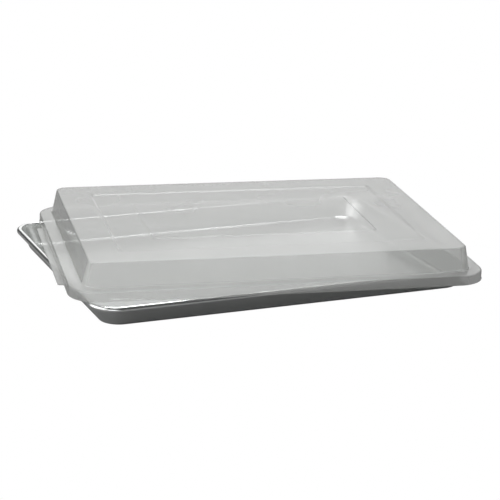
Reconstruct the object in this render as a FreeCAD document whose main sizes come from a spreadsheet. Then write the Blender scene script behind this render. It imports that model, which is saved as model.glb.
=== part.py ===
import FreeCAD, Part
import math
import os

import Sketcher

# A half-size sheet pan with its translucent storage cover laid on top, slightly askew.
# Millimetres, +Z up. The origin is the centre of the pan's underside, +X runs along the pan's long
# side. Three pieces: the pressed aluminium pan, the steel wire inside its rolled rim, and the
# thermoformed cover, which lifts straight up off the rim.

doc = FreeCAD.newDocument("sheet_pan_with_cover")

SIZES = [
    # the pan
    ("pan_length", 457.0, "over the rolled rim, 18 in"),
    ("pan_width", 330.0, "over the rolled rim, 13 in"),
    ("pan_height", 25.4, "underside to the top of the rim, 1 in"),
    ("pan_corner_radius", 29.0, "rim, in plan"),
    ("base_corner_radius", 21.0, "foot of the wall, in plan"),
    ("sheet_thickness", 1.0, "aluminium sheet, 18 gauge"),
    ("wall_lean", 22.0, "wall from the vertical, degrees"),
    ("base_bend_radius", 6.0, "outside of the bend between floor and wall"),
    ("bead_radius", 3.3, "outside of the rolled rim"),
    ("curl_end", 38.0, "where the rolled sheet ends, degrees below level on the wall's side"),
    ("wire_radius", 2.2, "steel wire in the rim"),
    # the cover
    ("cover_length", 461.6, "over the lip"),
    ("cover_width", 334.6, "over the lip"),
    ("cover_corner_radius", 33.0, "lip, in plan"),
    ("cover_thickness", 1.2, "plastic sheet"),
    ("lip_proud", 0.5, "lip beyond the skirt"),
    ("lip_height", 1.6, "lip, up the skirt"),
    ("skirt_height", 10.9, "lip to the top of the ledge"),
    ("ledge_width", 14.5, "skirt to the foot of the dome wall"),
    ("dome_height", 38.3, "lip to the top of the plateau"),
    ("end_lean", 13.6, "dome wall from the vertical on the short sides, degrees"),
    ("side_lean", 3.3, "dome wall from the vertical on the long sides, degrees"),
    ("plateau_corner_radius", 12.0, "top of the dome wall, in plan"),
    ("ledge_edge_radius", 2.0, "skirt to ledge"),
    ("dome_foot_radius", 1.5, "ledge to dome wall"),
    ("plateau_edge_radius", 2.2, "dome wall to plateau"),
    ("recess_inset", 36.4, "plateau edge to the sunk panel"),
    ("recess_depth", 1.2, "sunk panel below the plateau"),
    ("recess_corner_radius", 5.0, "sunk panel, in plan"),
    ("panel_inset", 79.7, "plateau edge to the raised panel"),
    ("panel_rise", 0.8, "raised panel above the sunk one"),
    ("panel_corner_radius", 4.0, "raised panel, in plan"),
    ("step_lean", 68.0, "slope of both steps from the vertical, degrees"),
    ("tab_reach", 6.5, "lifting tab beyond the lip"),
    ("tab_length", 213.0, "lifting tab along the short side"),
    ("tab_corner_radius", 2.5, "lifting tab, in plan"),
    # where the cover rests on the pan
    ("cover_shift_x", 8.6, "middle of the cover from the middle of the pan"),
    ("cover_shift_y", -13.8, "middle of the cover from the middle of the pan"),
    ("cover_turn", -9.95, "about +Z, degrees"),
    ("cover_gap", 0.3, "rim top to lip"),
]

sheet = doc.addObject("Spreadsheet::Sheet", "Sizes")
for row, (alias, value, meaning) in enumerate(SIZES, start=1):
    sheet.set(f"A{row}", alias)
    sheet.set(f"B{row}", str(value))
    sheet.set(f"C{row}", meaning)
    sheet.setAlias(f"B{row}", alias)
doc.recompute()

NEAR = 0.01  # two heights or insets closer than this are the same


def value_of(expression):
    """The number that an expression over the sheet gives."""
    return float(sheet.evalExpression(expression.replace("Sizes.", "")))


def new_body(label):
    body = doc.addObject("PartDesign::Body", label)
    body.Label = label
    return body


def new_sketch(body, name, role, offset="0"):
    """A sketch on one of the body's own origin planes, moved along the plane's normal by offset."""
    sketch = body.newObject("Sketcher::SketchObject", name)
    plane = next(feature for feature in body.Origin.OriginFeatures if feature.Role == role)
    sketch.AttachmentSupport = (plane, [""])
    sketch.MapMode = "FlatFace"
    sketch.setExpression("AttachmentOffset.Base.z", offset)
    return sketch


def bind(sketch, constraint, name, expression):
    """Adds a dimension and ties it to the sheet."""
    index = sketch.addConstraint(constraint)
    sketch.renameConstraint(index, name)
    sketch.setExpression(f"Constraints.{name}", expression)


def draw_rounded_rectangle(sketch, length, width, radius, name=""):
    """A rounded rectangle about the origin, whose first edge is the straight one on the +X side."""
    half_length = value_of(length) / 2
    half_width = value_of(width) / 2
    corner = value_of(radius)
    first = sketch.GeometryCount
    for quarter in range(4):
        turn = math.radians(90 * quarter)
        reach, span = (half_length, half_width) if quarter % 2 == 0 else (half_width, half_length)
        along = FreeCAD.Vector(-math.sin(turn), math.cos(turn), 0)
        out = FreeCAD.Vector(math.cos(turn), math.sin(turn), 0)
        start = out * reach - along * (span - corner)
        end = out * reach + along * (span - corner)
        centre = out * (reach - corner) + along * (span - corner)
        circle = Part.Circle(centre, FreeCAD.Vector(0, 0, 1), corner)
        sketch.addGeometry(Part.LineSegment(start, end))
        sketch.addGeometry(Part.ArcOfCircle(circle, turn, turn + math.pi / 2))
    lines = [first + 2 * quarter for quarter in range(4)]
    arcs = [line + 1 for line in lines]
    for quarter in range(4):
        following = lines[(quarter + 1) % 4]
        sketch.addConstraint(Sketcher.Constraint("Tangent", lines[quarter], 2, arcs[quarter], 1))
        sketch.addConstraint(Sketcher.Constraint("Tangent", arcs[quarter], 2, following, 1))
    for upright, level in ((lines[0], lines[1]), (lines[2], lines[3])):
        sketch.addConstraint(Sketcher.Constraint("Vertical", upright))
        sketch.addConstraint(Sketcher.Constraint("Horizontal", level))
    for arc in arcs[1:]:
        sketch.addConstraint(Sketcher.Constraint("Equal", arcs[0], arc))
    sketch.addConstraint(Sketcher.Constraint("Symmetric", arcs[0], 3, arcs[2], 3, -1, 1))
    bind(sketch, Sketcher.Constraint("Radius", arcs[0], corner), name + "corner", radius)
    across = Sketcher.Constraint("DistanceX", lines[2], 1, lines[0], 1, 2 * half_length)
    bind(sketch, across, name + "length", length)
    along_y = Sketcher.Constraint("DistanceY", lines[3], 1, lines[1], 1, 2 * half_width)
    bind(sketch, along_y, name + "width", width)


def rounded_rectangle(body, name, length, width, radius, height="0"):
    sketch = new_sketch(body, name, "XY_Plane", height)
    draw_rounded_rectangle(sketch, length, width, radius)
    return sketch


def pad(body, name, sketch, height, lean=None):
    """A pad whose sides lean out by lean degrees from the vertical."""
    feature = body.newObject("PartDesign::Pad", name)
    feature.Profile = sketch
    feature.setExpression("Length", height)
    if lean:
        feature.setExpression("TaperAngle", lean)
    return feature


def pocket(body, name, sketch, depth, lean=None, upwards=False):
    """A pocket whose sides lean in by lean degrees from the vertical."""
    feature = body.newObject("PartDesign::Pocket", name)
    feature.Profile = sketch
    feature.setExpression("Length", depth)
    feature.Reversed = upwards
    if lean:
        feature.setExpression("TaperAngle", f"-({lean})")
    return feature


def ruled_loft(body, kind, name, lower, upper):
    """A solid, or a void if kind is Subtractive, with straight sides between two outlines."""
    feature = body.newObject(f"PartDesign::{kind}Loft", name)
    feature.Profile = lower
    feature.Sections = [upper]
    feature.Ruled = True
    return feature


def is_level(item, height):
    """True if an edge or a face lies flat at height."""
    return abs(item.BoundBox.ZMin - height) < NEAR and abs(item.BoundBox.ZMax - height) < NEAR


def is_on_outline(edge, length, width):
    """True if an edge starts and ends on a rounded rectangle of that length and width."""
    depths = [max(abs(end.X) - length / 2, abs(end.Y) - width / 2) for end in edge.Vertexes]
    return all(abs(depth) < NEAR for depth in depths)


def level_fillet(body, name, base, height, radius, outline=None):
    """Rounds the level edges of a feature at height, or only those on a length by width outline."""
    doc.recompute()
    size = [value_of(side) for side in outline or ()]
    edges = [
        f"Edge{number}"
        for number, edge in enumerate(base.Shape.Edges, start=1)
        if is_level(edge, value_of(height)) and (not size or is_on_outline(edge, *size))
    ]
    feature = body.newObject("PartDesign::Fillet", name)
    feature.Base = (base, edges)
    feature.setExpression("Radius", radius)
    return feature


def sweep(body, name, profile, path):
    """Carries a section round a level closed path."""
    feature = body.newObject("PartDesign::AdditivePipe", name)
    feature.Profile = profile
    feature.Spine = path
    return feature


# The rolled rim is a circle in section. The wall meets it at a tangent, wall_lean above level.
BEAD_HEIGHT = "Sizes.pan_height - Sizes.bead_radius"
WIRE_PATH_LENGTH = "Sizes.pan_length - 2 * Sizes.bead_radius"
WIRE_PATH_WIDTH = "Sizes.pan_width - 2 * Sizes.bead_radius"
WIRE_PATH_RADIUS = "Sizes.pan_corner_radius - Sizes.bead_radius"
CURL_RADIUS = "Sizes.bead_radius - Sizes.sheet_thickness"
PATH_START = "Sizes.pan_width / 2 - Sizes.pan_corner_radius"


def rim_path(body):
    """The middle line of the rolled rim, which starts at the -Y end of the +X side."""
    return rounded_rectangle(
        body, "rim_path", WIRE_PATH_LENGTH, WIRE_PATH_WIDTH, WIRE_PATH_RADIUS, BEAD_HEIGHT
    )


def rim_profile(body):
    """The curled sheet in section: from the wall over the top and round under the wire."""
    sketch = new_sketch(body, "curl_profile", "XZ_Plane", PATH_START)
    centre = FreeCAD.Vector(value_of(WIRE_PATH_LENGTH) / 2, value_of(BEAD_HEIGHT), 0)
    free_end = math.radians(value_of("Sizes.curl_end") - 180)
    for radius in ("Sizes.bead_radius", CURL_RADIUS):
        circle = Part.Circle(centre, FreeCAD.Vector(0, 0, 1), value_of(radius))
        arc = sketch.addGeometry(Part.ArcOfCircle(circle, free_end, math.pi))
        bind(sketch, Sketcher.Constraint("Radius", arc, value_of(radius)), f"radius_{arc}", radius)
    outer, inner = 0, 1
    sketch.addConstraint(Sketcher.Constraint("Coincident", outer, 3, inner, 3))
    for side in (1, 2):
        ends = (sketch.getPoint(outer, side), sketch.getPoint(inner, side))
        line = sketch.addGeometry(Part.LineSegment(*ends))
        sketch.addConstraint(Sketcher.Constraint("Coincident", outer, side, line, 1))
        sketch.addConstraint(Sketcher.Constraint("Coincident", inner, side, line, 2))
        sketch.addConstraint(Sketcher.Constraint("PointOnObject", outer, 3, line))
    edge, root = 2, 3
    sketch.addConstraint(Sketcher.Constraint("Horizontal", root))
    slope = Sketcher.Constraint("Angle", edge, math.radians(value_of("Sizes.curl_end")))
    bind(sketch, slope, "free_end", "Sizes.curl_end * 1 deg")
    place_on_rim(sketch, outer, centre)
    return sketch


def wire_profile(body):
    """The wire in section, at the start of the path."""
    sketch = new_sketch(body, "wire_profile", "XZ_Plane", PATH_START)
    centre = FreeCAD.Vector(value_of(WIRE_PATH_LENGTH) / 2, value_of(BEAD_HEIGHT), 0)
    radius = value_of("Sizes.wire_radius")
    circle = sketch.addGeometry(Part.Circle(centre, FreeCAD.Vector(0, 0, 1), radius))
    bind(sketch, Sketcher.Constraint("Radius", circle, radius), "radius", "Sizes.wire_radius")
    place_on_rim(sketch, circle, centre)
    return sketch


def place_on_rim(sketch, circle, centre):
    """Puts the centre of a circle or arc on the middle line of the rim."""
    across = Sketcher.Constraint("DistanceX", -1, 1, circle, 3, centre.x)
    bind(sketch, across, "across", f"({WIRE_PATH_LENGTH}) / 2")
    up = Sketcher.Constraint("DistanceY", -1, 1, circle, 3, centre.y)
    bind(sketch, up, "up", BEAD_HEIGHT)


WALL_TOP_HEIGHT = f"{BEAD_HEIGHT} + ({CURL_RADIUS}) * sin(Sizes.wall_lean)"
WALL_TOP_INSET = f"(Sizes.bead_radius + ({CURL_RADIUS}) * cos(Sizes.wall_lean))"
WALL_ACROSS = "Sizes.sheet_thickness / cos(Sizes.wall_lean)"


def wall_section(body, name, height, inwards):
    """The wall's outside at height, moved in by inwards, with corners that widen up the wall."""
    below_top = f"(({WALL_TOP_HEIGHT}) - ({height}))"
    inset = f"({WALL_TOP_INSET} + {below_top} * tan(Sizes.wall_lean) + {inwards})"
    top_radius = f"(Sizes.pan_corner_radius - {WALL_TOP_INSET})"
    narrowing = f"({top_radius} - Sizes.base_corner_radius) * {below_top} / ({WALL_TOP_HEIGHT})"
    return rounded_rectangle(
        body,
        name,
        f"Sizes.pan_length - 2 * {inset}",
        f"Sizes.pan_width - 2 * {inset}",
        f"{top_radius} - {narrowing} - {inwards}",
        height,
    )


def make_sheet_pan():
    """One sheet of aluminium: floor, leaning walls and a rim rolled outwards over the wire."""
    body = new_body("sheet_pan")
    foot = wall_section(body, "foot", "0", "0")
    wall_top = wall_section(body, "wall_top", WALL_TOP_HEIGHT, "0")
    ruled_loft(body, "Additive", "outside", foot, wall_top)
    floor = wall_section(body, "floor", "Sizes.sheet_thickness", WALL_ACROSS)
    above = f"{WALL_TOP_HEIGHT} + Sizes.bead_radius"
    mouth = wall_section(body, "mouth", above, WALL_ACROSS)
    inside = ruled_loft(body, "Subtractive", "inside", floor, mouth)
    bend_outside = level_fillet(body, "bend_outside", inside, "0", "Sizes.base_bend_radius")
    inner_radius = "Sizes.base_bend_radius - Sizes.sheet_thickness"
    level_fillet(body, "bend_inside", bend_outside, "Sizes.sheet_thickness", inner_radius)
    body.Tip = sweep(body, "curl", rim_profile(body), rim_path(body))
    return body


def make_rim_wire():
    """A closed ring of steel wire, which the rim is rolled over."""
    body = new_body("rim_wire")
    body.Tip = sweep(body, "wire", wire_profile(body), rim_path(body))
    return body


def inset_size(inset):
    """Length, width and corner radius of the cover's outline moved in by inset."""
    return (
        f"Sizes.cover_length - 2 * ({inset})",
        f"Sizes.cover_width - 2 * ({inset})",
        f"Sizes.cover_corner_radius - ({inset})",
    )


DOME_FOOT_INSET = "(Sizes.lip_proud + Sizes.ledge_width)"
DOME_RISE = "(Sizes.dome_height - Sizes.skirt_height)"
FOOT_RADIUS = f"(Sizes.cover_corner_radius - {DOME_FOOT_INSET})"
COVER_SIDES = (("cover_length", "end_lean"), ("cover_width", "side_lean"))


def dome_section(body, name, height, inside=False):
    """The dome walls' outside or inside at height, as a rounded rectangle."""
    above_ledge = f"({height} - Sizes.skirt_height)"
    sides = []
    for side, lean in COVER_SIDES:
        inset = f"({DOME_FOOT_INSET} + {above_ledge} * tan(Sizes.{lean}))"
        across = f"Sizes.cover_thickness / cos(Sizes.{lean})" if inside else "0"
        sides.append(f"Sizes.{side} - 2 * ({inset} + {across})")
    narrowing = f"({FOOT_RADIUS} - Sizes.plateau_corner_radius) * {above_ledge} / {DOME_RISE}"
    within = "Sizes.cover_thickness" if inside else "0"
    radius = f"{FOOT_RADIUS} - {narrowing} - {within}"
    return rounded_rectangle(body, name, *sides, radius, height), sides


LEDGE_UNDERSIDE = "(Sizes.skirt_height - Sizes.cover_thickness)"
PLATEAU_UNDERSIDE = "(Sizes.dome_height - Sizes.cover_thickness)"
SUNK_TOP = "(Sizes.dome_height - Sizes.recess_depth)"
SUNK_UNDERSIDE = f"({SUNK_TOP} - Sizes.cover_thickness)"
STEP_ACROSS = "Sizes.cover_thickness / cos(Sizes.step_lean)"


def make_outside(body):
    """The cover as a solid block with its outer shape. Gives the plateau's length and width."""
    skirt_size = inset_size("Sizes.lip_proud")
    skirt = rounded_rectangle(body, "skirt_outline", *skirt_size)
    pad(body, "skirt", skirt, "Sizes.skirt_height")
    foot, foot_sides = dome_section(body, "dome_outline", "Sizes.skirt_height")
    plateau, plateau_sides = dome_section(body, "plateau_outline", "Sizes.dome_height")
    rounded = ruled_loft(body, "Additive", "dome", foot, plateau)
    for name, sides, height, radius in (
        ("ledge_edge", skirt_size[:2], "Sizes.skirt_height", "Sizes.ledge_edge_radius"),
        ("dome_foot", foot_sides, "Sizes.skirt_height", "Sizes.dome_foot_radius"),
        ("plateau_edge", plateau_sides, "Sizes.dome_height", "Sizes.plateau_edge_radius"),
    ):
        rounded = level_fillet(body, name, rounded, height, radius, sides)
    return plateau_sides


def make_inside(body):
    """Takes out the space under the ledge and the plateau, which leaves the sheet."""
    void_size = inset_size("Sizes.lip_proud + Sizes.cover_thickness")
    void = rounded_rectangle(body, "skirt_void_outline", *void_size)
    pocket(body, "skirt_void", void, LEDGE_UNDERSIDE, upwards=True)
    foot, foot_sides = dome_section(body, "void_foot", LEDGE_UNDERSIDE, inside=True)
    top, top_sides = dome_section(body, "void_top", PLATEAU_UNDERSIDE, inside=True)
    rounded = ruled_loft(body, "Subtractive", "dome_void", foot, top)
    thickness = "Sizes.cover_thickness"
    for name, sides, height, radius in (
        ("ledge_inside", void_size[:2], LEDGE_UNDERSIDE, f"Sizes.ledge_edge_radius - {thickness}"),
        ("foot_inside", foot_sides, LEDGE_UNDERSIDE, f"Sizes.dome_foot_radius + {thickness}"),
        ("plateau_inside", top_sides, PLATEAU_UNDERSIDE, f"Sizes.plateau_edge_radius - {thickness}"),
    ):
        rounded = level_fillet(body, name, rounded, height, radius, sides)


def panel_outline(body, name, plateau_sides, inset, radius, height):
    sides = [f"{side} - 2 * ({inset})" for side in plateau_sides]
    return rounded_rectangle(body, name, *sides, radius, height)


def make_panels(body, plateau_sides):
    """The plateau's sunk panel and the raised panel in the middle of it, in even sheet."""
    slope = "tan(Sizes.step_lean)"
    sunk_radius = "Sizes.recess_corner_radius"
    raised_radius = "Sizes.panel_corner_radius"
    sunk_run = f"(Sizes.recess_depth + Sizes.cover_thickness) * {slope}"
    outlines = [
        panel_outline(body, name, plateau_sides, inset, radius, height)
        for name, inset, radius, height in (
            ("sunk_below", f"Sizes.recess_inset + {sunk_run} - {STEP_ACROSS}", sunk_radius, SUNK_UNDERSIDE),
            ("sunk_top", "Sizes.recess_inset", sunk_radius, "Sizes.dome_height"),
            ("raised_foot", "Sizes.panel_inset", raised_radius, SUNK_TOP),
            (
                "raised_below",
                f"Sizes.panel_inset - Sizes.cover_thickness * {slope} + {STEP_ACROSS}",
                raised_radius,
                SUNK_UNDERSIDE,
            ),
        )
    ]
    sunk_below, sunk_top, raised_foot, raised_below = outlines
    pad(body, "sunk_sheet", sunk_below, "Sizes.cover_thickness", "Sizes.step_lean")
    pocket(body, "sunk_panel", sunk_top, "Sizes.recess_depth", "Sizes.step_lean")
    pad(body, "raised_panel", raised_foot, "Sizes.panel_rise", "-Sizes.step_lean")
    rise = "Sizes.panel_rise"
    pocket(body, "raised_void", raised_below, rise, "Sizes.step_lean", upwards=True)


def make_cover():
    """One thermoformed sheet: skirt, ledge, dome with a sunk and a raised panel, and two tabs."""
    body = new_body("cover")
    plateau_sides = make_outside(body)
    make_inside(body)
    make_panels(body, plateau_sides)
    lip = rounded_rectangle(body, "lip_outline", *inset_size("0"))
    lip_inset = "Sizes.lip_proud + Sizes.cover_thickness / 2"
    draw_rounded_rectangle(lip, *inset_size(lip_inset), "inner_")
    pad(body, "lip", lip, "Sizes.lip_height")
    tab = pad(body, "tab", tab_outline(body), "Sizes.cover_thickness")
    doc.recompute()
    both = body.newObject("PartDesign::Mirrored", "both_tabs")
    both.Originals = [tab]
    mirror = next(plane for plane in body.Origin.OriginFeatures if plane.Role == "YZ_Plane")
    both.MirrorPlane = (mirror, [""])
    body.Tip = both
    body.Placement = FreeCAD.Placement(
        FreeCAD.Vector(
            value_of("cover_shift_x"),
            value_of("cover_shift_y"),
            value_of("pan_height + cover_gap"),
        ),
        FreeCAD.Rotation(FreeCAD.Vector(0, 0, 1), value_of("cover_turn")),
    )
    return body


def tab_outline(body):
    """The lifting tab on the -X side, rooted in the middle of the skirt's wall."""
    sketch = new_sketch(body, "tab_outline", "XY_Plane")
    outer = -value_of("cover_length / 2 + tab_reach")
    root = -value_of("cover_length / 2 - lip_proud - cover_thickness / 2")
    half = value_of("tab_length / 2")
    corner = value_of("tab_corner_radius")
    up = FreeCAD.Vector(0, 0, 1)
    far = FreeCAD.Vector(outer + corner, half - corner, 0)
    near = FreeCAD.Vector(outer + corner, corner - half, 0)
    pieces = [
        Part.LineSegment(FreeCAD.Vector(root, half, 0), FreeCAD.Vector(far.x, half, 0)),
        Part.ArcOfCircle(Part.Circle(far, up, corner), math.pi / 2, math.pi),
        Part.LineSegment(FreeCAD.Vector(outer, far.y, 0), FreeCAD.Vector(outer, near.y, 0)),
        Part.ArcOfCircle(Part.Circle(near, up, corner), math.pi, 3 * math.pi / 2),
        Part.LineSegment(FreeCAD.Vector(near.x, -half, 0), FreeCAD.Vector(root, -half, 0)),
        Part.LineSegment(FreeCAD.Vector(root, -half, 0), FreeCAD.Vector(root, half, 0)),
    ]
    for piece in pieces:
        sketch.addGeometry(piece)
    top, far_arc, edge, near_arc, bottom, back = range(6)
    for one, following in ((top, far_arc), (far_arc, edge), (edge, near_arc), (near_arc, bottom)):
        sketch.addConstraint(Sketcher.Constraint("Tangent", one, 2, following, 1))
    sketch.addConstraint(Sketcher.Constraint("Coincident", bottom, 2, back, 1))
    sketch.addConstraint(Sketcher.Constraint("Coincident", back, 2, top, 1))
    sketch.addConstraint(Sketcher.Constraint("Vertical", edge))
    sketch.addConstraint(Sketcher.Constraint("Horizontal", top))
    sketch.addConstraint(Sketcher.Constraint("Horizontal", bottom))
    sketch.addConstraint(Sketcher.Constraint("Equal", far_arc, near_arc))
    sketch.addConstraint(Sketcher.Constraint("Symmetric", back, 1, back, 2, -1))
    bind(sketch, Sketcher.Constraint("Radius", far_arc, corner), "corner", "Sizes.tab_corner_radius")
    span = Sketcher.Constraint("DistanceY", back, 1, back, 2, 2 * half)
    bind(sketch, span, "span", "Sizes.tab_length")
    reach = Sketcher.Constraint("DistanceX", edge, 1, -1, 1, -outer)
    bind(sketch, reach, "reach", "Sizes.cover_length / 2 + Sizes.tab_reach")
    rooted = Sketcher.Constraint("DistanceX", back, 1, -1, 1, -root)
    rooted_at = "Sizes.cover_length / 2 - Sizes.lip_proud - Sizes.cover_thickness / 2"
    bind(sketch, rooted, "root", rooted_at)
    return sketch


bodies = [make_sheet_pan(), make_rim_wire(), make_cover()]
doc.recompute()

faults = [item.Name for item in doc.Objects if {"Invalid", "Error"} & set(item.State)]
for body in bodies:
    if body.Shape.isNull() or not body.Shape.isValid() or len(body.Shape.Solids) != 1:
        faults.append(body.Label)
if faults:
    raise RuntimeError(f"these objects failed: {faults}")

os.makedirs("parts", exist_ok=True)
for body in bodies:
    body.Shape.exportStep(f"parts/{body.Label}.step")
    box = body.Shape.optimalBoundingBox(False)
    print(
        f"{body.Label}: {body.Shape.Volume / 1000:.1f} cm3,"
        f" X {box.XMin:.1f} to {box.XMax:.1f}, Y {box.YMin:.1f} to {box.YMax:.1f},"
        f" Z {box.ZMin:.2f} to {box.ZMax:.2f}"
    )
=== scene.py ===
import math

import bpy
from mathutils import Matrix, Quaternion, Vector


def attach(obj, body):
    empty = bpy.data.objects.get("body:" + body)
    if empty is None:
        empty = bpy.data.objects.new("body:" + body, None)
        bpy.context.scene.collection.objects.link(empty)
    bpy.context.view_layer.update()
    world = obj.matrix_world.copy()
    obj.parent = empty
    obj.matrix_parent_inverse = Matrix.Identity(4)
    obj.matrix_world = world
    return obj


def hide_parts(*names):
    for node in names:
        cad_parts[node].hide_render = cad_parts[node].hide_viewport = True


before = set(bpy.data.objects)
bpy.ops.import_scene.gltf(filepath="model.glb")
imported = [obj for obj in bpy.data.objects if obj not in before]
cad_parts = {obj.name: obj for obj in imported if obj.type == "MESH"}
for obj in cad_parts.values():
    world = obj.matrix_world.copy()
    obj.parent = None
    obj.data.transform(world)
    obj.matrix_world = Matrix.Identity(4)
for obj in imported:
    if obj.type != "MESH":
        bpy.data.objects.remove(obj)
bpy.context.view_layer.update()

# Lengths are millimetres until new_piece() turns them into metres.
MM = 0.001


# ---------------------------------------------------------------- camera

CAMERA_AZIMUTH = -23.36
CAMERA_ELEVATION = 17.40
CAMERA_ROLL = 1.734
CAMERA_DISTANCE = 1.996
CAMERA_LENS = 122.9
CAMERA_AIM = Vector((0.0131, 0.0005, 0.0181))


def direction(azimuth, elevation):
    """The unit vector from the object towards this azimuth and elevation, in degrees."""
    turn, rise = math.radians(azimuth), math.radians(elevation)
    return Vector(
        (math.sin(turn) * math.cos(rise), -math.cos(turn) * math.cos(rise), math.sin(rise))
    )


def make_camera():
    data = bpy.data.cameras.new("camera")
    data.sensor_width = 36
    data.lens = CAMERA_LENS
    data.clip_end = 50
    camera = bpy.data.objects.new("camera", data)
    bpy.context.scene.collection.objects.link(camera)
    back = direction(CAMERA_AZIMUTH, CAMERA_ELEVATION)
    camera.location = CAMERA_AIM + back * CAMERA_DISTANCE
    camera.rotation_mode = "QUATERNION"
    level = (-back).to_track_quat("-Z", "Y")
    camera.rotation_quaternion = level @ Quaternion((0, 0, 1), math.radians(CAMERA_ROLL))
    bpy.context.scene.camera = camera


make_camera()


# ---------------------------------------------------------------- formed sheet
#
# The pan and the cover are each one formed sheet. Each is built from a section, which runs from
# the sheet's free edge to its middle and is carried round a rounded rectangle. A section is a list
# of Point: half is the distance from the middle plane, and the front of the sheet is on the
# right-hand side of the way the section runs, which is the top or the outside.

BEND_STEPS = 8  # pieces in one bend of a section
CORNER_STEPS = 16  # pieces in one corner, in plan
CAP_STEPS = 4  # pieces round the free edge
CAP_DEPTH = 0.3  # the free edge's roundness, beyond the section's first point


class Point:
    def __init__(self, half, height, front, plan):
        self.place = Vector((half, height))
        self.front = front
        self.plan = plan


class Corner:
    """Where a section turns: the bend's radius, the plan radius here, and the pieces leading here."""

    def __init__(self, half, height, plan, bend=0.0, pieces=1):
        self.place = Vector((half, height))
        self.plan = plan
        self.bend = bend
        self.pieces = pieces


def front_of(heading):
    return Vector((heading.y, -heading.x))


def run_of_points(start, end, front, pieces):
    """Points after start, up to and including end, in equal pieces."""
    places = [start.place.lerp(end.place, step / pieces) for step in range(1, pieces + 1)]
    plans = [start.plan + (end.plan - start.plan) * step / pieces for step in range(1, pieces + 1)]
    return [Point(*place, front, plan) for place, plan in zip(places, plans)]


def bent_section(corners):
    """The points of a section through corners, with each bend as an arc."""
    first, last = corners[0], corners[-1]
    heading = (corners[1].place - first.place).normalized()
    points = [Point(*first.place, front_of(heading), first.plan)]
    for before, here, after in zip(corners, corners[1:], corners[2:]):
        arrive = (here.place - before.place).normalized()
        leave = (after.place - here.place).normalized()
        turn = math.atan2(arrive.cross(leave), arrive.dot(leave))
        cut = here.bend * math.tan(abs(turn) / 2)
        start = Point(*(here.place - arrive * cut), front_of(arrive), here.plan)
        points += run_of_points(points[-1], start, front_of(arrive), here.pieces)
        hand = math.copysign(here.bend, turn)
        centre = start.place - front_of(arrive) * hand
        for step in range(1, BEND_STEPS + 1):
            front = Matrix.Rotation(turn * step / BEND_STEPS, 2) @ front_of(arrive)
            points.append(Point(*(centre + front * hand), front, here.plan))
    return points + run_of_points(points[-1], last, front_of(leave), last.pieces)


def offset(points, depth):
    """The same section, moved back through the sheet by depth."""
    return [
        Point(*(point.place - point.front * depth), point.front, point.plan - point.front.x * depth)
        for point in points
    ]


def free_edge(points, thickness):
    """Points round the sheet's edge, from the back of its first point to the front."""
    first = points[0]
    middle = first.place - first.front * thickness / 2
    outwards = Vector((first.front.y, -first.front.x))
    cap = []
    for step in range(1, CAP_STEPS):
        turn = math.pi * (step / CAP_STEPS - 0.5)
        across = first.front * math.sin(turn) * thickness / 2
        place = middle + across + outwards * math.cos(turn) * CAP_DEPTH
        cap.append(Point(*place, first.front, first.plan))
    return cap


def closed_section(points, thickness):
    """From the middle of the back, round the free edge, to the middle of the front."""
    return offset(points, thickness)[::-1] + free_edge(points, thickness) + points


def evenly(pieces):
    return [step / pieces * 2 - 1 for step in range(pieces + 1)]


def outline(end, side, end_stops, side_stops, reach):
    """One turn round the sheet, through a point of the +X end's section and of the +Y side's.

    The stops are where points lie along the straight parts, from -1 to 1. reach(along) moves the
    points of both ends outwards.
    """
    places = []
    for quarter in range(4):
        here, following, stops = (end, side, end_stops) if quarter % 2 == 0 else (side, end, side_stops)
        turned = Matrix.Rotation(math.pi / 2 * quarter, 3, "Z")
        plan = end.plan
        straight = following.place.x - plan
        for stop in stops:
            out = here.place.x + (reach(straight * stop) if quarter % 2 == 0 else 0)
            places.append(turned @ Vector((out, straight * stop, here.place.y)))
        for step in range(1, CORNER_STEPS):
            turn = math.pi / 2 * step / CORNER_STEPS
            out = here.place.x - plan + plan * math.cos(turn)
            along = straight + plan * math.sin(turn)
            height = here.place.y + (following.place.y - here.place.y) * math.sin(turn) ** 2
            places.append(turned @ Vector((out, along, height)))
    return places


def new_piece(name, places, faces, placement):
    mesh = bpy.data.meshes.new(name)
    mesh.from_pydata([placement @ (place * MM) for place in places], [], faces)
    mesh.validate()
    mesh.shade_smooth()
    piece = bpy.data.objects.new(name, mesh)
    bpy.context.scene.collection.objects.link(piece)
    weighted = piece.modifiers.new("even shading", "WEIGHTED_NORMAL")
    weighted.keep_sharp = True
    return piece


def sheet_piece(
    name,
    end_section,
    side_section,
    thickness,
    end_stops,
    side_stops,
    placement,
    flange=0,
    tab=None,
):
    """A closed shell. The flange is how many points at the free edge the tabs carry outwards."""
    ends = closed_section(end_section, thickness)
    sides = closed_section(side_section, thickness)
    edge = range(len(end_section) - flange, len(end_section) + CAP_STEPS - 1 + flange)
    rings = [
        outline(end, side, end_stops, side_stops, tab if tab and number in edge else lambda along: 0)
        for number, (end, side) in enumerate(zip(ends, sides))
    ]
    count = len(rings[0])
    faces = [
        (
            row * count + place,
            row * count + (place + 1) % count,
            (row + 1) * count + (place + 1) % count,
            (row + 1) * count + place,
        )
        for row in range(len(rings) - 1)
        for place in range(count)
    ]
    last = (len(rings) - 1) * count
    faces += [tuple(reversed(range(count))), tuple(range(last, last + count))]
    return new_piece(name, [place for ring in rings for place in ring], faces, placement)


# ---------------------------------------------------------------- the pan

PAN_LENGTH, PAN_WIDTH, PAN_HEIGHT = 457.0, 330.0, 25.4
PAN_CORNER_RADIUS = 29.0
PAN_FOOT_RADIUS = 20.0
PAN_SHEET = 1.0
PAN_WALL_LEAN = math.radians(22.0)
PAN_BEND = 5.0
BEAD_RADIUS = 3.3
CURL_START = math.radians(-142.0)
CURL_STEPS = 30


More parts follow.
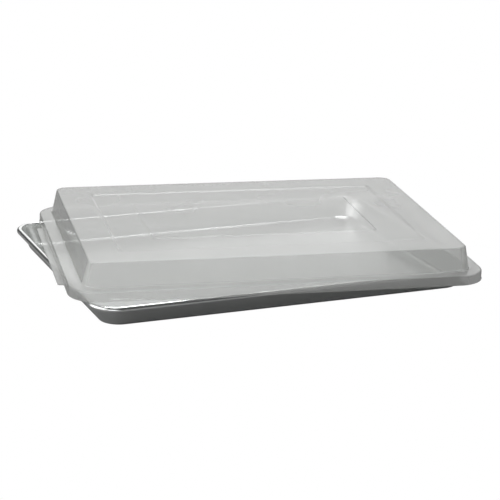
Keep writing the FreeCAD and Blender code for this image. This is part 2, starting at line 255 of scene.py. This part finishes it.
def pan_section(half, other_half):
    """From the curl's free end over the wire, down the wall and along the floor."""
    centre = Vector((half - BEAD_RADIUS, PAN_HEIGHT - BEAD_RADIUS))
    wall_turn = math.pi - PAN_WALL_LEAN
    curl = []
    for step in range(CURL_STEPS + 1):
        turn = CURL_START + (wall_turn - CURL_START) * step / CURL_STEPS
        front = Vector((math.cos(turn), math.sin(turn)))
        place = centre + front * BEAD_RADIUS
        curl.append(Point(*place, front, PAN_CORNER_RADIUS - (half - place.x)))
    top = curl.pop()
    drop = top.place.y - PAN_SHEET
    foot = top.place.x - drop * math.tan(PAN_WALL_LEAN)
    floor_half = foot - min(half, other_half) + PAN_CORNER_RADIUS
    corners = [
        Corner(*top.place, top.plan),
        Corner(foot, PAN_SHEET, PAN_FOOT_RADIUS, PAN_BEND, pieces=4),
        Corner(floor_half, PAN_SHEET, 1.0, pieces=14),
    ]
    return curl + bent_section(corners)


def make_pan():
    ends = pan_section(PAN_LENGTH / 2, PAN_WIDTH / 2)
    sides = pan_section(PAN_WIDTH / 2, PAN_LENGTH / 2)
    return sheet_piece(
        "formed_pan", ends, sides, PAN_SHEET, evenly(24), evenly(34), Matrix.Identity(4)
    )


# ---------------------------------------------------------------- the cover

COVER_LENGTH, COVER_WIDTH = 461.6, 334.6
COVER_CORNER_RADIUS = 33.0
COVER_SHEET = 1.2
LIP_PROUD = 0.5
SKIRT_HEIGHT = 10.9
LEDGE_WIDTH = 14.5
DOME_HEIGHT = 38.3
END_LEAN, SIDE_LEAN = math.radians(13.6), math.radians(3.3)
PLATEAU_RADIUS = 12.0
LIP_BEND, LEDGE_BEND, DOME_FOOT_BEND, PLATEAU_BEND = 0.1, 2.0, 1.5, 2.2
SUNK_INSET, SUNK_DEPTH, SUNK_RADIUS = 36.4, 1.2, 5.0
RAISED_INSET, RAISED_RISE, RAISED_RADIUS = 79.7, 0.8, 4.0
STEP_BEND = 5.0
STEP_RUN = math.tan(math.radians(68.0))  # across, for each step's height
TAB_REACH, TAB_HALF, TAB_CORNER, TAB_ROOT = 6.5, 105.0, 2.5, 1.5
COVER_TURN = math.radians(-9.95)
COVER_PLACE = Vector((8.6, -13.8, PAN_HEIGHT + 0.3))


def cover_section(half, other_half, lean):
    """From the lip up the skirt, over the ledge, up the dome wall and across the plateau."""
    skirt = half - LIP_PROUD
    foot = skirt - LEDGE_WIDTH
    plateau = foot - (DOME_HEIGHT - SKIRT_HEIGHT) * math.tan(lean)
    sunk = plateau - SUNK_INSET
    sunk_height = DOME_HEIGHT - SUNK_DEPTH
    sunk_end = SUNK_DEPTH * STEP_RUN
    raised = plateau - RAISED_INSET
    raised_end = RAISED_RISE * STEP_RUN
    middle = raised - (min(half, other_half) - LIP_PROUD - LEDGE_WIDTH - RAISED_INSET - 5.0)
    lip_radius = COVER_CORNER_RADIUS
    corners = [
        Corner(half - CAP_DEPTH, COVER_SHEET, lip_radius - CAP_DEPTH),
        Corner(skirt, COVER_SHEET, lip_radius - LIP_PROUD, LIP_BEND),
        Corner(skirt, SKIRT_HEIGHT, lip_radius - LIP_PROUD, LEDGE_BEND, pieces=2),
        Corner(foot, SKIRT_HEIGHT, lip_radius - LIP_PROUD - LEDGE_WIDTH, DOME_FOOT_BEND, pieces=3),
        Corner(plateau, DOME_HEIGHT, PLATEAU_RADIUS, PLATEAU_BEND, pieces=5),
        Corner(sunk, DOME_HEIGHT, SUNK_RADIUS, STEP_BEND, pieces=5),
        Corner(sunk - sunk_end, sunk_height, SUNK_RADIUS - sunk_end, STEP_BEND),
        Corner(raised, sunk_height, RAISED_RADIUS, STEP_BEND, pieces=5),
        Corner(raised - raised_end, sunk_height + RAISED_RISE, RAISED_RADIUS - raised_end, STEP_BEND),
        Corner(middle, sunk_height + RAISED_RISE, 1.0, pieces=8),
    ]
    return bent_section(corners)


def tab_outline():
    """The tab's outline from its root to its straight edge, as (along, reach)."""
    root = [
        (TAB_HALF + TAB_ROOT * (1 - math.sin(turn)), TAB_ROOT * (1 - math.cos(turn)))
        for turn in (math.pi / 2 * step / 4 for step in range(5))
    ]
    tip = [
        (
            TAB_HALF - 0.3 - TAB_CORNER * (1 - math.cos(turn)),
            TAB_REACH - TAB_CORNER * (1 - math.sin(turn)),
        )
        for turn in (math.pi / 2 * step / 6 for step in range(7))
    ]
    return root + tip


def tab_reach(along):
    """How far the tab stands out at a place along the short side."""
    shape = tab_outline()
    place = abs(along)
    for (outer, low), (inner, high) in zip(shape, shape[1:]):
        if inner <= place <= outer:
            return low + (high - low) * (outer - place) / (outer - inner)
    return 0 if place > TAB_HALF else TAB_REACH


def tab_stops():
    """Where the points lie along the short sides, closer together at the tab's corners."""
    straight = COVER_WIDTH / 2 - COVER_CORNER_RADIUS
    corners = [along for along, _ in tab_outline()]
    beyond = [straight, (straight + TAB_HALF) / 2]
    within = [corners[-1] * share / 10 for share in range(9, 0, -1)]
    half = [place / straight for place in beyond + corners + within]
    return [-stop for stop in half] + [0] + half[::-1]


def make_cover():
    ends = cover_section(COVER_LENGTH / 2, COVER_WIDTH / 2, END_LEAN)
    sides = cover_section(COVER_WIDTH / 2, COVER_LENGTH / 2, SIDE_LEAN)
    placement = Matrix.Translation(COVER_PLACE * MM) @ Matrix.Rotation(COVER_TURN, 4, "Z")
    return sheet_piece(
        "formed_cover",
        ends,
        sides,
        COVER_SHEET,
        tab_stops(),
        evenly(34),
        placement,
        flange=1,
        tab=tab_reach,
    )


# ---------------------------------------------------------------- materials


def new_material(name):
    material = bpy.data.materials.new(name)
    material.use_nodes = True
    tree = material.node_tree
    tree.nodes.clear()
    return material, tree


def node(tree, kind, **values):
    """Adds a node. Each value is an attribute of the node, or one of its inputs."""
    item = tree.nodes.new(kind)
    for name, value in values.items():
        if hasattr(item, name):
            setattr(item, name, value)
        else:
            item.inputs[name.replace("_", " ")].default_value = value
    return item


PATTERN_RANGE = (0.3, 0.7)  # a noise seldom goes past these


def pattern(tree, stretch, detail):
    """A noise that stays on its piece. Stretch is how fine it is along X, Y and Z, per metre."""
    where = node(tree, "ShaderNodeTexCoord")
    sized = node(tree, "ShaderNodeMapping")
    sized.inputs["Scale"].default_value = stretch
    noise = node(tree, "ShaderNodeTexNoise", Scale=1.0, Detail=detail)
    tree.links.new(where.outputs["Object"], sized.inputs["Vector"])
    tree.links.new(sized.outputs[0], noise.inputs["Vector"])
    return noise.outputs[0]


def between(tree, amount, low, high):
    """A number that goes from low to high with a pattern."""
    spread = node(tree, "ShaderNodeMapRange", To_Min=low, To_Max=high)
    spread.inputs["From Min"].default_value = PATTERN_RANGE[0]
    spread.inputs["From Max"].default_value = PATTERN_RANGE[1]
    tree.links.new(amount, spread.inputs["Value"])
    return spread.outputs[0]


def tint(tree, amount, low, high):
    """A colour that goes from low to high with a pattern."""
    ramp = node(tree, "ShaderNodeValToRGB")
    for stop, place, colour in zip(ramp.color_ramp.elements, PATTERN_RANGE, (low, high)):
        stop.position = place
        stop.color = (*colour, 1)
    tree.links.new(amount, ramp.inputs[0])
    return ramp.outputs[0]


def unevenness(tree, amount, depth):
    """A surface that rises and falls by depth metres with a pattern."""
    bump = node(tree, "ShaderNodeBump", Strength=1.0, Distance=depth)
    tree.links.new(amount, bump.inputs["Height"])
    return bump.outputs[0]


SHEET_LINES = (3, 160, 160)
SHEET_SMUDGES = (22, 22, 22)
SHEET_COLOURS = ((0.875, 0.890, 0.882), (0.895, 0.908, 0.902))


def aluminium():
    """Rolled sheet: fine lines along its length, and faint smudges from handling."""
    material, tree = new_material("pan_aluminium")
    link = tree.links.new
    out = node(tree, "ShaderNodeOutputMaterial")
    bsdf = node(tree, "ShaderNodeBsdfPrincipled", Metallic=1.0)
    lines = pattern(tree, SHEET_LINES, 2)
    smudges = pattern(tree, SHEET_SMUDGES, 2)
    rough = node(tree, "ShaderNodeMath", operation="ADD")
    link(between(tree, lines, -0.01, 0.01), rough.inputs[0])
    link(between(tree, smudges, 0.23, 0.25), rough.inputs[1])
    link(tint(tree, lines, *SHEET_COLOURS), bsdf.inputs["Base Color"])
    link(rough.outputs[0], bsdf.inputs["Roughness"])
    link(bsdf.outputs[0], out.inputs[0])
    return material


WIRE_BLOOM = (350, 350, 350)
WIRE_COLOURS = ((0.50, 0.50, 0.51), (0.62, 0.62, 0.62))
WIRE_ROUGHNESS = (0.28, 0.45)
WIRE_DEPTH = 0.00001


def steel():
    """Zinc-coated wire, with the coat's mottled bloom."""
    material, tree = new_material("wire_steel")
    link = tree.links.new
    out = node(tree, "ShaderNodeOutputMaterial")
    bsdf = node(tree, "ShaderNodeBsdfPrincipled", Metallic=1.0)
    bloom = pattern(tree, WIRE_BLOOM, 2)
    link(tint(tree, bloom, *WIRE_COLOURS), bsdf.inputs["Base Color"])
    link(between(tree, bloom, *WIRE_ROUGHNESS), bsdf.inputs["Roughness"])
    link(unevenness(tree, bloom, WIRE_DEPTH), bsdf.inputs["Normal"])
    link(bsdf.outputs[0], out.inputs[0])
    return material


PLASTIC_VEIL = (0.25, 0.38)  # of each face, seen straight and at a slant; a sheet has two faces
PLASTIC_GLOSS = 0.04  # of the light that meets a face straight on
PLASTIC_CLOUD = (14, 14, 14)
PLASTIC_SCUFFS = (45, 45, 45)
PLASTIC_COLOURS = ((0.86, 0.87, 0.85), (0.90, 0.91, 0.89))
PLASTIC_ROUGHNESS = (0.10, 0.14)


def plastic():
    """Milky clear plastic: a thin veil over what is behind it, and a clear gloss on top."""
    material, tree = new_material("cover_plastic")
    link = tree.links.new
    out = node(tree, "ShaderNodeOutputMaterial")
    cloud = pattern(tree, PLASTIC_CLOUD, 3)
    scuffs = pattern(tree, PLASTIC_SCUFFS, 2)
    clear = node(tree, "ShaderNodeBsdfTransparent")
    front_lit = node(tree, "ShaderNodeBsdfDiffuse")
    back_lit = node(tree, "ShaderNodeBsdfTranslucent")
    colour = tint(tree, cloud, *PLASTIC_COLOURS)
    milk = node(tree, "ShaderNodeMixShader")
    milk.inputs[0].default_value = 0.5
    thicker = node(tree, "ShaderNodeMapRange", To_Min=PLASTIC_VEIL[0], To_Max=PLASTIC_VEIL[1])
    veil = node(tree, "ShaderNodeMixShader")
    gloss = node(tree, "ShaderNodeBsdfGlossy")
    facing = node(tree, "ShaderNodeLayerWeight", Blend=0.5)
    steep = node(tree, "ShaderNodeMath", operation="POWER")
    steep.inputs[1].default_value = 5.0
    share = node(tree, "ShaderNodeMapRange", To_Min=PLASTIC_GLOSS, To_Max=1.0)
    surface = node(tree, "ShaderNodeMixShader")
    link(colour, front_lit.inputs["Color"])
    link(colour, back_lit.inputs["Color"])
    link(between(tree, scuffs, *PLASTIC_ROUGHNESS), gloss.inputs["Roughness"])
    link(front_lit.outputs[0], milk.inputs[1])
    link(back_lit.outputs[0], milk.inputs[2])
    link(clear.outputs[0], veil.inputs[1])
    link(milk.outputs[0], veil.inputs[2])
    link(facing.outputs["Facing"], thicker.inputs["Value"])
    link(thicker.outputs[0], veil.inputs[0])
    link(facing.outputs["Facing"], steep.inputs[0])
    link(steep.outputs[0], share.inputs["Value"])
    link(share.outputs[0], surface.inputs[0])
    link(veil.outputs[0], surface.inputs[1])
    link(gloss.outputs[0], surface.inputs[2])
    link(surface.outputs[0], out.inputs[0])
    return material


def dress(piece, material):
    piece.data.materials.clear()
    piece.data.materials.append(material)


pan = make_pan()
dress(pan, aluminium())
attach(pan, "pan")
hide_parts("sheet_pan")

cover = make_cover()
dress(cover, plastic())
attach(cover, "lid")
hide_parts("cover")

dress(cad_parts["rim_wire"], steel())


# ---------------------------------------------------------------- floor and light


def seen_directly(tree):
    """1 where the camera sees the stage with nothing in front, and 0 for every other ray."""
    path = node(tree, "ShaderNodeLightPath")
    bare = node(tree, "ShaderNodeMath", operation="LESS_THAN")
    bare.inputs[1].default_value = 0.5
    both = node(tree, "ShaderNodeMath", operation="MULTIPLY")
    tree.links.new(path.outputs["Transparent Depth"], bare.inputs[0])
    tree.links.new(path.outputs["Is Camera Ray"], both.inputs[0])
    tree.links.new(bare.outputs[0], both.inputs[1])
    return both.outputs[0]


# The table is grey out to its radius, and fades to darkness at the radius beyond, in metres.
TABLE_GREY, TABLE_RADIUS = 0.32, 0.60
BEYOND_GREY, BEYOND_RADIUS = 0.03, 0.75
FLOOR_SIZE = 40


def make_floor():
    """White where the camera sees it bare. In reflections and through plastic, a grey table."""
    bpy.ops.mesh.primitive_plane_add(size=FLOOR_SIZE)
    floor = bpy.context.object
    floor.name = "floor"
    material, tree = new_material("floor")
    out = node(tree, "ShaderNodeOutputMaterial")
    white = node(tree, "ShaderNodeEmission", Strength=1.0)
    table = node(tree, "ShaderNodeBsdfDiffuse")
    where = node(tree, "ShaderNodeNewGeometry")
    away = node(tree, "ShaderNodeVectorMath", operation="LENGTH")
    grey = node(tree, "ShaderNodeMapRange", interpolation_type="SMOOTHSTEP")
    for name, value in (
        ("From Min", TABLE_RADIUS),
        ("From Max", BEYOND_RADIUS),
        ("To Min", TABLE_GREY),
        ("To Max", BEYOND_GREY),
    ):
        grey.inputs[name].default_value = value
    tree.links.new(where.outputs["Position"], away.inputs[0])
    tree.links.new(away.outputs["Value"], grey.inputs["Value"])
    tree.links.new(grey.outputs[0], table.inputs["Color"])
    mix = node(tree, "ShaderNodeMixShader")
    tree.links.new(seen_directly(tree), mix.inputs[0])
    tree.links.new(table.outputs[0], mix.inputs[1])
    tree.links.new(white.outputs[0], mix.inputs[2])
    tree.links.new(mix.outputs[0], out.inputs[0])
    dress(floor, material)


ROOM = 0.06  # brightness between the cards
CARD_EDGE = 5.0  # degrees, over which a card fades

# The white cards round the table: azimuth, elevation and half-width in degrees, and brightness.
CARDS = (
    (157, 63, 13, 7.8),
    (157, 27, 24, 1.0),
    (67, 38, 18, 1.0),
    (-25, 2, 24, 1.5),
    (-95, 20, 40, 1.3),
    (-125, 22, 24, 0.4),
)


def card(tree, where, azimuth, elevation, half_width, brightness, before):
    """Adds a round white card to the brightness before it."""
    along = node(tree, "ShaderNodeVectorMath", operation="DOT_PRODUCT")
    along.inputs[1].default_value = direction(azimuth, elevation)
    inner, outer = half_width - CARD_EDGE / 2, half_width + CARD_EDGE / 2
    edge = node(tree, "ShaderNodeMapRange", interpolation_type="SMOOTHSTEP", To_Max=brightness)
    edge.inputs["From Min"].default_value = math.cos(math.radians(outer))
    edge.inputs["From Max"].default_value = math.cos(math.radians(inner))
    total = node(tree, "ShaderNodeMath", operation="ADD")
    tree.links.new(where, along.inputs[0])
    tree.links.new(along.outputs["Value"], edge.inputs["Value"])
    tree.links.new(before, total.inputs[0])
    tree.links.new(edge.outputs[0], total.inputs[1])
    return total.outputs[0]


def make_world():
    """White where the camera sees it bare, and a dim room with white cards otherwise."""
    world = bpy.data.worlds.new("studio")
    bpy.context.scene.world = world
    world.use_nodes = True
    tree = world.node_tree
    tree.nodes.clear()
    link = tree.links.new
    out = node(tree, "ShaderNodeOutputWorld")
    white = node(tree, "ShaderNodeBackground", Strength=1.0)
    white.inputs[0].default_value = (1, 1, 1, 1)
    room = node(tree, "ShaderNodeBackground")
    room.inputs["Color"].default_value = (1, 1, 1, 1)
    where = node(tree, "ShaderNodeTexCoord").outputs["Generated"]
    dim = node(tree, "ShaderNodeValue")
    dim.outputs[0].default_value = ROOM
    brightness = dim.outputs[0]
    for values in CARDS:
        brightness = card(tree, where, *values, brightness)
    mix = node(tree, "ShaderNodeMixShader")
    link(brightness, room.inputs["Strength"])
    link(seen_directly(tree), mix.inputs[0])
    link(room.outputs[0], mix.inputs[1])
    link(white.outputs[0], mix.inputs[2])
    link(mix.outputs[0], out.inputs[0])


make_floor()
make_world()
bpy.context.scene.view_settings.view_transform = "Standard"
